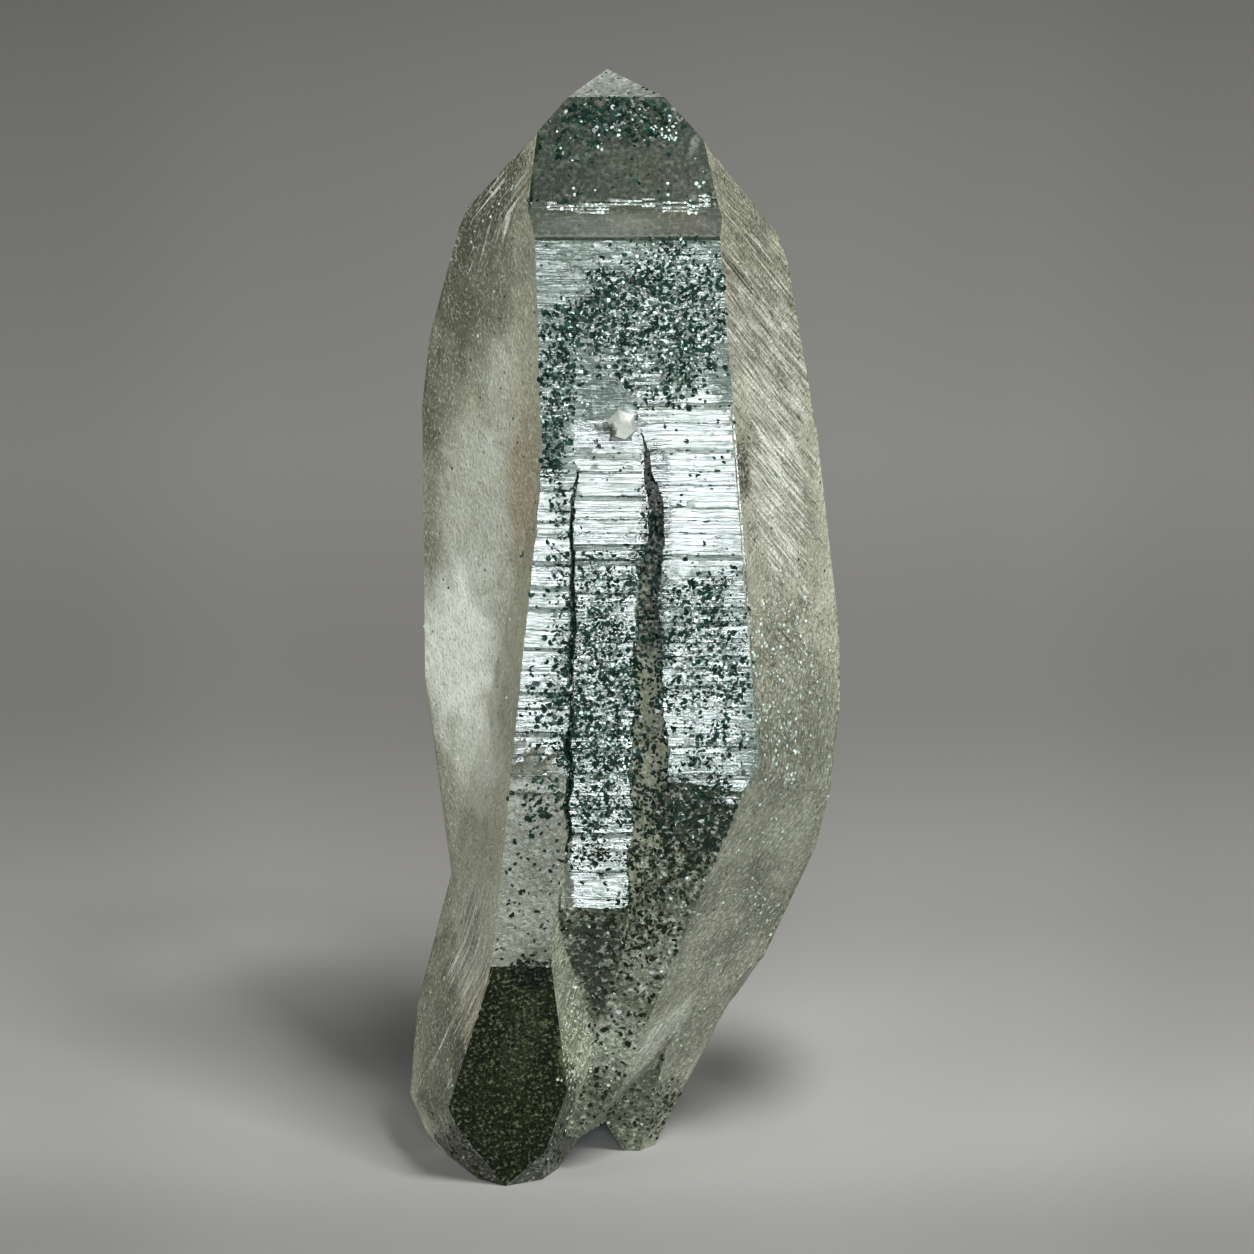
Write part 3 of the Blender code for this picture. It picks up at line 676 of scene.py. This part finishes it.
def regionOf(face):
    n, c, size = face.normal, face.calc_center_median() / mm, face.calc_area() / mm ** 2
    toFront = n.y < -0.85
    if n.z > 0.8 and c.z > 82.0:
        return "capFacet"
    if c.y < -14.2 and math.hypot(c.x + 0.1, c.z - 65.2) < 1.6:
        return "knob"
    if c.z > 82.0 and n.y < -0.7 and abs(n.x) < 0.1:
        return "darkTip"
    if c.z > 80.0 and toFront:
        return "clearBand"
    # the ledges and the walls of the grooves, and the walls of the slit under them
    isLedge = abs(n.z) > 0.8 and c.y < -13.9 and c.z > 24.5
    isWall = not toFront and size < 80.0 and -5.6 < c.x < 4.6 and 24.5 < c.z < 67.0 and c.y < -11.5
    if isLedge or isWall:
        return "crevice"
    if not toFront and size < 20.0 and -4.5 < c.x < 4.0 and 14.0 < c.z < 24.5:
        return "lowerPanel"
    # the sides
    if n.x > 0.5 and n.y < 0.0 and (n.z < -0.3 or c.z < 24.5) and c.z < 40.0:
        return "lowerRight"
    if not toFront:
        return "leftSide" if n.x < 0 else "rightSide"
    # the front
    if c.y > -13.4 and 26.0 < c.z < 67.0 and abs(n.z) < 0.1:
        return "valley"
    if c.x < -4.0 and c.z < 20.0 and abs(n.x) < 0.1:
        return "footPanel"
    if c.x < -4.0 and c.z < 36.0:
        return "lobe"
    if n.z < -0.12 and c.z < 36.0 and c.x > -5.0:
        return "lowerPanel"
    return "striatedFront"


def facesOf(bm, *names):
    wanted = {regionNames.index(name) for name in names}
    return [f for f in bm.faces if f.material_index in wanted]


def cornersOf(faces):
    # each corner once, always in the same order, so that every run gives the same crystal
    return list(dict.fromkeys(v for f in faces for v in f.verts))


def cutAt(bm, faces, point, direction):
    edges = list(dict.fromkeys(e for f in faces for e in f.edges))
    parts = cornersOf(faces) + edges + list(faces)
    bmesh.ops.bisect_plane(bm, geom=parts, plane_co=point, plane_no=direction, dist=1e-7)


def cutColumns(bm, chosen, columns, pick):
    x, end, width, slant, varies = columns
    while x < end:
        cutAt(bm, chosen(), (x * mm, 0, 0), (1, 0, slant * pick.uniform(-1, 1)))
        x += width * pick.uniform(*varies)


def cutGrowthSteps(bm, shape, pick):
    # each step has a proud lower edge and a recessed top, so its face tips up to the light
    recess = {}
    z = shape["frontStarts"]
    while z < shape["frontEnds"]:
        tall = pick.uniform(*shape["steps"])
        top = z + tall - shape["stepLip"]
        recess[round(top, 3)] = tall - shape["stepLip"]
        for height in (z, top):
            cutAt(bm, facesOf(bm, "striatedFront"), (0, 0, height * mm), (0, 0, 1))
        z += tall
    cutColumns(bm, lambda: facesOf(bm, "striatedFront"), shape["frontColumns"], pick)
    moves = []
    for v in cornersOf(facesOf(bm, "striatedFront")):
        x, z = v.co.x / mm, v.co.z / mm
        lean, uneven = shape["plainSteps"]
        bandZ = z + shape["bandEdge"] * noiseAt(x * 0.55, 8.0, 0.0)
        for left, right, low, high, bandLean, bandUneven in growthBands.values():
            if left <= x <= right and low <= bandZ <= high:
                lean, uneven = bandLean, bandUneven
                break
        # the solid's own growth ledges already lean a little, so only the rest is added
        below = [f for f in v.link_faces if f.calc_center_median().z < v.co.z - 1e-6 and f.normal.y < -0.9]
        already = below[0].normal.z / -below[0].normal.y if below else 0.0
        steeper = max(0.0, math.tan(math.radians(lean)) - already)
        inward = recess.get(round(z, 3), 0.0) * steeper
        inward *= 1 + shape["leanVaries"] * noiseAt(x * 0.6, z * 3, 1)
        bumpy = 0.5 + 0.5 * noiseAt(x * 1.1, z * 2.2, 9.0) + 0.5 * pick.random()
        inward += uneven * shape["unevenDepth"] * bumpy
        lift = shape["wave"] * noiseAt(x * 0.35, z * 0.05, 3.0)
        moves.append((v, Vector((0, inward, lift)) * mm))
    for v, move in moves:
        v.co += move
    return len(recess)


def ledgeLine(x):
    # rises a little right of the middle, and again at the right end
    hump = 0.62 * (1 - ease(abs(x - 1.4), 0.2, 2.4)) + 0.55 * ease(x, 4.6, 7.0)
    return 82.45 + 0.40 * noiseAt(x * 0.8, 4.0, 0.0) + hump


def cutTipLedge(bm, shape, pick):
    # the sparkling, wavy line where the tip's dark face meets the clear band
    low, high = shape["ledgeHeight"]

    def strip():
        return [f for f in facesOf(bm, "darkTip", "clearBand")
                if low - 0.01 < f.calc_center_median().z / mm < high + 0.01]
    z = low
    while z <= high:
        cutAt(bm, facesOf(bm, "darkTip", "clearBand"), (0, 0, z * mm), (0, 0, 1))
        z += shape["ledgeRow"]
    cutColumns(bm, strip, shape["ledgeColumns"], pick)
    for f in strip():
        c = f.calc_center_median() / mm
        wide = shape["ledgeWidth"] * (0.70 + 1.1 * noiseAt(c.x * 0.9, 0, 2.0))
        if abs(c.z - ledgeLine(c.x)) < wide and pick.random() < shape["ledgeShown"]:
            f.material_index = regionNames.index("tipLedge")
    for v in cornersOf(facesOf(bm, "tipLedge")):
        v.co += Vector(shape["ledgeSunk"]) * pick.random() * mm


def blendBorders(bm, shape, pick):
    # two finishes that run into each other, facet by facet, instead of ending at a line
    for upper, lower, (start, end) in (("rightSide", "lowerRight", shape["sideBlend"]),
                                       ("striatedFront", "lobe", shape["lobeBlend"])):
        for f in facesOf(bm, upper):
            c = f.calc_center_median() / mm
            inPlace = c.x < -4.0 if lower == "lobe" else c.y < 2.0
            if inPlace and pick.random() > ease(c.z + 2.0 * noise.noise(c * 0.4), start, end):
                f.material_index = regionNames.index(lower)


def growKnob(bm, shape):
    centre = Vector(shape["knobCentre"]) * mm
    for v in cornersOf(facesOf(bm, "knob")):
        v.co.x = centre.x + (v.co.x - centre.x) * shape["knobGrows"]
        v.co.z = centre.y + (v.co.z - centre.y) * shape["knobGrows"]


def bendGrooves(bm, shape):
    # the edges of the grooves wander, and the narrow one on the left is pinched together
    slow, quick = shape["waver"]
    bottom, fullFrom, fullTo, top = shape["grooves"]
    (bowX, bowZ), (bowWide, bowHigh) = shape["bowCentre"], shape["bowSize"]
    for v in bm.verts:
        p = v.co / mm
        if p.y > -12.0 or not bottom < p.z < top:
            continue
        here = ease(p.z, bottom, fullFrom) * (1 - ease(p.z, fullTo, top))
        here *= 1 - ease(abs(p.x + 0.6), 5.0, 7.5)
        shift = slow * noiseAt(p.x * 0.45, 0.0, p.z * 0.40)
        shift += quick * noiseAt(p.x * 1.4, 5.0, p.z * 1.5)
        middle = -4.0 - 0.020 * (57.0 - p.z)
        pinched = math.exp(-((p.x - middle) / shape["pinchWidth"]) ** 2)
        shift += shape["pinch"] * (middle - p.x) * pinched
        # the wide one bows to the right near its top
        shift += shape["bow"] * math.exp(-((p.z - bowZ) / bowHigh) ** 2 - ((p.x - bowX) / bowWide) ** 2)
        v.co.x += shift * here * mm


def cutSlantedLines(bm, shape, pick):
    # fine growth lines that run down to the right across the right side
    outward, _, across = lineDirections(*lineSets["rightSlant"][0])

    def chosen():
        return [f for f in facesOf(bm, "rightSide") if f.normal.dot(outward) > 0.995]
    spots = [v.co.dot(across) / mm for f in chosen() for v in f.verts]
    depth = {}
    at = min(spots) + shape["slantedStart"]
    while at < max(spots):
        # a cut for each bank of the line, and one for its bottom
        for side in (0, 1, 2):
            middle = at + side * shape["slantedWidth"]
            cutAt(bm, chosen(), across * middle * mm, across)
            if side == 1:
                depth[round(middle, 3)] = pick.uniform(*shape["slantedDepth"])
        at += 2 * shape["slantedWidth"] + pick.uniform(*shape["slantedGap"])
    for v in cornersOf(chosen()):
        inward = depth.get(round(v.co.dot(across) / mm, 3), 0.0)
        inward *= 0.35 + 0.65 * max(0.0, 0.5 + noise.noise(v.co / mm * 0.25))
        v.co -= outward * inward * ease(v.co.z / mm, *shape["slantedFade"]) * mm
    return len(depth)


def evenOut(bm, shape):
    # short edges everywhere in front, so that relief and colours have points to sit on
    def isLong(edge):
        behind = min(v.co.y for v in edge.verts) > shape["behind"] * mm
        return edge.calc_length() > shape["evenEdgeBehind" if behind else "evenEdge"] * mm
    for _ in range(shape["evenRounds"]):
        tooLong = [e for e in bm.edges if isLong(e)]
        if not tooLong:
            break
        bmesh.ops.subdivide_edges(bm, edges=tooLong, cuts=1)
        bmesh.ops.triangulate(bm, faces=[f for f in bm.faces if len(f.verts) > 4])
    bmesh.ops.triangulate(bm, faces=bm.faces)
    bm.normal_update()


# how green, frosted, warm, shaded, streaked and glittering a place is, and how thick with plates
def paintAt(p, region):
    kinds = ("green", "frost", "warm", "shade", "streak", "glitter", "flakes", "glints")
    amounts = {**dict.fromkeys(kinds, 0.0), **quartzLooks[region]["paint"]}
    wobble = noise.noise(p * 0.5)
    fine = noise.noise(p * 1.3)
    slowly, finely = paintSettings["wander"]
    for kind, spots in (sideSpots if region in sideRegions else frontSpots).items():
        for (x, y, z), (wide, high), turn, strength in spots.values():
            dx, dy, dz = p.x - x, p.y - y, p.z - z
            if abs(dz) > paintSettings["farthest"] * (high + wide):
                continue
            c, s = math.cos(math.radians(turn)), math.sin(math.radians(turn))
            aside, up, deep = (dx * c - dz * s) / wide, (dx * s + dz * c) / high, dy / paintSettings["depth"]
            reach = math.sqrt(aside ** 2 + up ** 2 + deep ** 2)
            edge = reach + slowly * wobble + finely * fine
            amounts[kind] += strength * (1.0 - ease(edge, *paintSettings["edge"]))
    # plates come in clumps, and keep off the places where they would stick out of the solid's box
    clumps = 0.45 + 1.5 * max(0.0, 0.35 + noise.noise(p * 0.95 + Vector((5, 1, 2))))
    side, fades = paintSettings["freeBeside"]
    keepsInside = ease(p.z, *paintSettings["freeBelow"]) * ease(side - abs(p.x), 0.0, fades)
    keepsInside *= p.y > paintSettings["freeBefore"]
    flakes = max(0.0, amounts["flakes"])
    return {
        "chlorite": max(0.0, amounts["green"] + 0.25 * wobble * (amounts["green"] > 0.1)),
        "frost": min(1.0, max(0.0, amounts["frost"] * (1.0 + 0.5 * fine))),
        "warm": min(1.0, max(0.0, amounts["warm"])),
        "shade": min(0.85, amounts["shade"] * (1.0 + 0.3 * fine)),
        "streak": min(1.0, amounts["streak"]),
        "glitter": min(1.0, amounts["glitter"] + 0.32 * flakes),
        "flakeDensity": flakes * clumps * keepsInside,
        "glintDensity": max(0.0, amounts["glints"] * (0.7 + 0.9 * fine)) * keepsInside,
    }


def paintCrystal(bm):
    # kept at the corners of the faces, so that a patch on the front stops at the crystal's edge
    names = ("chlorite", "frost", "warm", "shade", "streak", "glitter", "flakeDensity", "glintDensity")
    layers = {name: bm.loops.layers.float.new(name) for name in names}
    bm.verts.index_update()
    known, streaks = {}, {}
    for f in bm.faces:
        for corner in f.loops:
            place = (corner.vert.index, f.material_index)
            if place not in known:
                known[place] = paintAt(corner.vert.co / mm, regionNames[f.material_index])
                streaks[corner.vert.index] = known[place]["streak"]
            for name, value in known[place].items():
                corner[layers[name]] = value
    return streaks


def roughen(bm, shape, pick, streaks):
    # only points inside one flat region move, and only inward, so the crystal's edges stay crisp
    smooth = ("striatedFront", "darkTip", "tipLedge", "clearBand", "crevice", "knob")
    still = {regionNames.index(name) for name in smooth}
    frames = {"leftSide": lineDirections(*lineSets["leftSlant"][0]),
              "rightSide": lineDirections(*lineSets["rightSlant"][0])}
    ridgeWide, ridgeLong = shape["ridgeSize"]
    for v in bm.verts:
        around = {f.material_index for f in v.link_faces}
        if around & still or v.co.z < shape["standing"] * mm:
            continue
        n = v.normal
        if any(f.normal.dot(n) < 0.96 for f in v.link_faces):
            continue
        p = v.co / mm
        slow = 0.5 + 0.5 * noise.noise(p * 0.22)
        middle = 0.5 + 0.5 * noise.noise(p * 0.9)
        inward = shape["swell"] * (0.65 * slow + 0.35 * middle) + shape["pitting"] * pick.random()
        _, along, across = frames["leftSide" if p.x < 0 else "rightSide"]
        ridge = noiseAt(p.dot(across) / ridgeWide, p.dot(along) / ridgeLong, 0.0)
        inward += shape["ridges"] * streaks[v.index] * (0.5 + 0.5 * ridge)
        v.co -= n * inward * mm


def makeCrystal(shape):
    pick = random.Random(shape["seed"])
    bm = bmesh.new()
    bm.from_mesh(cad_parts["crystal"].data)
    bmesh.ops.remove_doubles(bm, verts=bm.verts, dist=shape["merge"] * mm)
    bmesh.ops.dissolve_limit(bm, angle_limit=math.radians(shape["flatWithin"]), verts=bm.verts,
                             edges=bm.edges)
    bm.normal_update()
    for height in shape["finishHeights"]:
        cutAt(bm, [f for f in bm.faces if f.normal.y < -0.85], (0, 0, height * mm), (0, 0, 1))
    for f in bm.faces:
        f.material_index = regionNames.index(regionOf(f))
    growKnob(bm, shape)
    print("growth steps:", cutGrowthSteps(bm, shape, pick))
    cutTipLedge(bm, shape, pick)
    print("slanted lines:", cutSlantedLines(bm, shape, pick))
    evenOut(bm, shape)
    blendBorders(bm, shape, pick)
    bendGrooves(bm, shape)
    roughen(bm, shape, pick, paintCrystal(bm))
    bm.normal_update()
    mesh = bpy.data.meshes.new("quartzBody")
    bm.to_mesh(mesh)
    bm.free()
    # creases first, because marking them makes every face smooth; then the glittering faces turn flat
    mesh.set_sharp_from_angle(angle=math.radians(shape["creaseAngle"]))
    for polygon in mesh.polygons:
        polygon.use_smooth = not quartzLooks[regionNames[polygon.material_index]]["flat"]
    for name, look in quartzLooks.items():
        mesh.materials.append(quartzMaterial(name, look))
    return addObject("quartzBody", mesh)


crystal = makeCrystal(crystalShape)
print("crystal made:", len(crystal.data.polygons), "triangles")

# small six-sided plates on the surface: dark chlorite in two sizes, and pale ones that glint;
# their light colour is a painted glint, besides what they really reflect of the lamps
plateSettings = {
    "chloriteFlakes": {
        "Plate Radius": 0.18 * mm, "Plate Thickness": 0.035 * mm, "Density": 5.2e6,
        "Tilt": 0.50, "Attribute": "flakeDensity", "Seed": 5,
    },
    "chloriteGrains": {
        "Plate Radius": 0.105 * mm, "Plate Thickness": 0.03 * mm, "Density": 8.0e6,
        "Tilt": 0.60, "Attribute": "flakeDensity", "Seed": 8,
    },
    "paleGlints": {
        "Plate Radius": 0.10 * mm, "Plate Thickness": 0.03 * mm, "Density": 5.2e6,
        "Tilt": 0.45, "Attribute": "glintDensity", "Seed": 12,
    },
}
# their tone goes from dark to light, and between the heights of lowTo it turns into the low one
plateLooks = {
    "chloriteFlakes": {
        "dark": (0.002, 0.010, 0.007), "light": (0.012, 0.041, 0.030), "low": (0.004, 0.007, 0.002),
        "lowTo": (24.0, 38.0), "roughness": 0.15, "shine": 0.25,
    },
    "chloriteGrains": {
        "dark": (0.003, 0.012, 0.008), "light": (0.017, 0.048, 0.036), "low": (0.007, 0.011, 0.004),
        "lowTo": (24.0, 38.0), "roughness": 0.20, "shine": 0.25,
    },
    "paleGlints": {
        "dark": (0.28, 0.37, 0.34), "light": (0.66, 0.77, 0.74), "low": (0.29, 0.33, 0.24),
        "lowTo": (14.0, 26.0), "roughness": 0.12, "shine": 0.5,
    },
}
plateTones = {"scale": 1400.0, "range": (0.45, 0.75)}
plateSizes = (0.40, 1.65)  # smallest and largest, against the plate's own radius


def plateMaterial(name, look):
    # the plates change tone from one to the next, and low on the crystal they turn olive
    material, tree, shader = newMaterial(name)
    place = addNode(tree, "ShaderNodeTexCoord", -1100).outputs["Object"]
    cells = addNode(tree, "ShaderNodeTexNoise", -900, 0, {"Vector": place, "Scale": plateTones["scale"]})
    height = addNode(tree, "ShaderNodeSeparateXYZ", -900, -300, {"Vector": place})
    spread = mapRange(tree, cells.outputs["Fac"], *plateTones["range"], -700, -200)
    tone = mixColours(tree, look["dark"], look["light"], spread, -500, 0)
    start, end = look["lowTo"]
    high = mapRange(tree, height.outputs["Z"], start * mm, end * mm, -700, -400)
    feed(tree, shader, {"Base Color": mixColours(tree, look["low"], tone, high, -300, 0),
                        "Roughness": look["roughness"], "Specular IOR Level": look["shine"]})
    return material


def plateTree(name, material):
    tree, entry, leave = newGroup(
        name,
        {"Geometry": "Geometry", "Plate Radius": "Float", "Plate Thickness": "Float", "Density": "Float",
         "Tilt": "Float", "Attribute": "String", "Seed": "Int"},
        {"Geometry": "Geometry"}, "GeometryNodeTree")
    density = addNode(tree, "GeometryNodeInputNamedAttribute", -1000, -250, {"Name": entry["Attribute"]},
                      data_type="FLOAT")
    scatter = addNode(tree, "GeometryNodeDistributePointsOnFaces", -600, 0,
                      {"Mesh": entry["Geometry"], "Seed": entry["Seed"],
                       "Density": multiply(tree, density.outputs[0], entry["Density"], -850, -200)})
    plate = addNode(tree, "GeometryNodeMeshCylinder", -600, -350,
                    {"Vertices": 6, "Radius": entry["Plate Radius"], "Depth": entry["Plate Thickness"]})
    # tilted to any side by no more than Tilt, turned about itself by any angle
    most = addNode(tree, "ShaderNodeCombineXYZ", -950, -700,
                   {"X": entry["Tilt"], "Y": entry["Tilt"], "Z": math.pi}).outputs["Vector"]
    least = vectorMath(tree, "SCALE", {0: most, "Scale": -1.0}, -800, -850)
    turn = addNode(tree, "FunctionNodeRandomValue", -600, -650, {0: least, 1: most, "Seed": entry["Seed"]},
                   data_type="FLOAT_VECTOR")
    asTurn = addNode(tree, "FunctionNodeEulerToRotation", -450, -600, {0: turn.outputs[0]})
    smallest, largest = plateSizes
    size = addNode(tree, "FunctionNodeRandomValue", -600, -900,
                   {2: smallest, 3: largest, "Seed": entry["Seed"]}, data_type="FLOAT")
    spin = addNode(tree, "FunctionNodeRotateRotation", -300, -300,
                   {0: scatter.outputs["Rotation"], 1: asTurn.outputs[0]}, rotation_space="LOCAL")
    placed = addNode(tree, "GeometryNodeInstanceOnPoints", -100, 0,
                     {"Points": scatter.outputs["Points"], "Instance": plate.outputs["Mesh"],
                      "Rotation": spin.outputs[0], "Scale": size.outputs[1]})
    real = addNode(tree, "GeometryNodeRealizeInstances", 200, 0, {"Geometry": placed.outputs["Instances"]})
    coat = addNode(tree, "GeometryNodeSetMaterial", 450, 0,
                   {"Geometry": real.outputs["Geometry"], "Material": material})
    feed(tree, leave, {"Geometry": coat.outputs["Geometry"]})
    return tree


def scatterPlates(name, host, settings, look):
    tree = plateTree(name, plateMaterial(name, look))
    maker = addObject(name + "Maker", host.data)
    modifier = maker.modifiers.new("plates", "NODES")
    modifier.node_group = tree
    for item in tree.interface.items_tree:
        if item.item_type == "SOCKET" and item.in_out == "INPUT" and item.name in settings:
            modifier[item.identifier] = settings[item.name]
    graph = bpy.context.evaluated_depsgraph_get()
    mesh = bpy.data.meshes.new_from_object(maker.evaluated_get(graph))
    bpy.data.objects.remove(maker)
    mesh.name = name
    print(name, "made:", len(mesh.polygons) // 8, "plates")
    return addObject(name, mesh)


plates = [scatterPlates(name, crystal, settings, plateLooks[name])
          for name, settings in plateSettings.items()]

# floor: one sheet whose grey changes with the distance and to both sides, as the photograph's
# background does, painted light and shade in place of how the backdrop is lit; with painted
# shadows beside the feet, and painted light behind on the left that lifts the lamps' own shadow
# there; greys are by Y in millimetres, sides by X over the distance, and distance is what it is at
# Y = 0 and how fast it grows; a patch is where, half sizes and how dark
floorLook = {
    "greys": ((-27, 0.219), (10, 0.333), (68, 0.244), (138, 0.192), (264, 0.268), (524, 0.300)),
    "sides": ((-0.0825, 0.79), (-0.050, 0.91), (-0.010, 0.96), (0.028, 1.0), (0.056, 0.94), (0.083, 0.84)),
    "distance": (0.576, 0.966),
    "patches": (((-18, 27), (14, 18), 0.48), ((8.4, 19.5), (10.5, 20), 0.75), ((4.5, 8), (6, 9), 0.40),
                ((-46, 52), (44, 40), -0.22), ((-34, 49), (17, 20), -0.36)),
    "tint": (1.0, 0.98, 0.95), "roughness": 0.7, "halfSize": 3.0,
}


def greyRamp(tree, value, stops, x, y):
    # a value that runs through the given stops
    first, last = stops[0][0], stops[-1][0]
    ramp = addNode(tree, "ShaderNodeValToRGB", x, y, {"Fac": mapRange(tree, value, first, last, x - 200, y)})
    ramp.color_ramp.interpolation = "EASE"
    marks = ramp.color_ramp.elements
    while len(marks) < len(stops):
        marks.new(0.5)
    for mark, (place, grey) in zip(marks, stops):
        mark.position = (place - first) / (last - first)
        mark.color = (grey, grey, grey, 1.0)
    return ramp.outputs["Color"]


def makeFloor(look):
    half = look["halfSize"]
    mesh = bpy.data.meshes.new("studioFloor")
    mesh.from_pydata([(-half, -half, 0), (half, -half, 0), (half, half, 0), (-half, half, 0)],
                     [], [(0, 1, 2, 3)])
    material, tree, shader = newMaterial("paleFloor")
    place = addNode(tree, "ShaderNodeTexCoord", -1500).outputs["Object"]
    split = addNode(tree, "ShaderNodeSeparateXYZ", -1300, 0, {"Vector": place}).outputs
    nearest, grows = look["distance"]
    away = doMath(tree, "MULTIPLY_ADD", {0: split["Y"], 1: grows, 2: nearest}, -1100, -200)
    across = doMath(tree, "DIVIDE", {0: split["X"], 1: away}, -900, -200)
    # painted light and shade: the floor's grey falls off with the distance and to both sides
    rows = [(y * mm, grey) for y, grey in look["greys"]]
    grey = multiply(tree, greyRamp(tree, split["Y"], rows, -700, 0),
                    greyRamp(tree, across, look["sides"], -700, -300), -400, 0)
    # painted shadows beside the feet, and painted light where a strength is under 0, behind on the left
    for row, ((x, y), (wide, deep), strength) in enumerate(look["patches"]):
        low = -500 - 350 * row
        spot = addNode(tree, "ShaderNodeMapping", -1100, low,
                       {"Vector": place, "Location": (x * mm, y * mm, 0),
                        "Scale": (wide * mm, deep * mm, 1)}, vector_type="TEXTURE")
        reach = vectorMath(tree, "LENGTH", {0: spot.outputs["Vector"]}, -900, low, "Value")
        soft = addNode(tree, "ShaderNodeMapRange", -700, low, {"Value": reach, "To Min": 1 - strength},
                       interpolation_type="SMOOTHSTEP")
        grey = multiply(tree, grey, soft.outputs["Result"], -250 + 100 * row, -200)
    tinted = vectorMath(tree, "SCALE", {0: look["tint"], "Scale": grey}, -100, 0)
    feed(tree, shader, {"Base Color": tinted, "Roughness": look["roughness"]})
    mesh.materials.append(material)
    made = addObject("studioFloor", mesh)
    return made


makeFloor(floorLook)

# lights: place in metres, size in metres, power in watts, colour; all aim at the crystal
lightSettings = {
    "frontGlow": ((0.02, -0.95, 0.30), 0.30, 8.2, (0.90, 0.97, 1.0)),
    "highKey": ((0.33, -0.48, 0.82), 0.30, 12.0, (1.0, 1.0, 0.98)),
    "rightLow": ((0.80, -0.38, 0.22), 0.30, 4.0, (1.0, 0.99, 0.94)),
    "leftLow": ((-0.80, -0.38, 0.22), 0.34, 5.2, (1.0, 0.99, 0.94)),
}
lightsAim = (0, 0, 45 * mm)
worldGrey = (0.06, 0.06, 0.06)


def makeLights(lights):
    for name, (place, size, power, colour) in lights.items():
        data = bpy.data.lights.new(name, "AREA")
        data.shape = "SQUARE"
        data.size, data.energy, data.color = size, power, colour
        made = addObject(name, data)
        made.location = place
        made.rotation_euler = (Vector(lightsAim) - Vector(place)).to_track_quat("-Z", "Y").to_euler()
    world = bpy.data.worlds.new("studio")
    world.use_nodes = True
    world.node_tree.nodes["Background"].inputs["Color"].default_value = (*worldGrey, 1.0)
    bpy.context.scene.world = world


makeLights(lightSettings)
bpy.context.scene.view_settings.view_transform = "Standard"
print("floor and lights placed")

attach(crystal, "root")
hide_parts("crystal")
for piece in plates:
    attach(piece, "root")
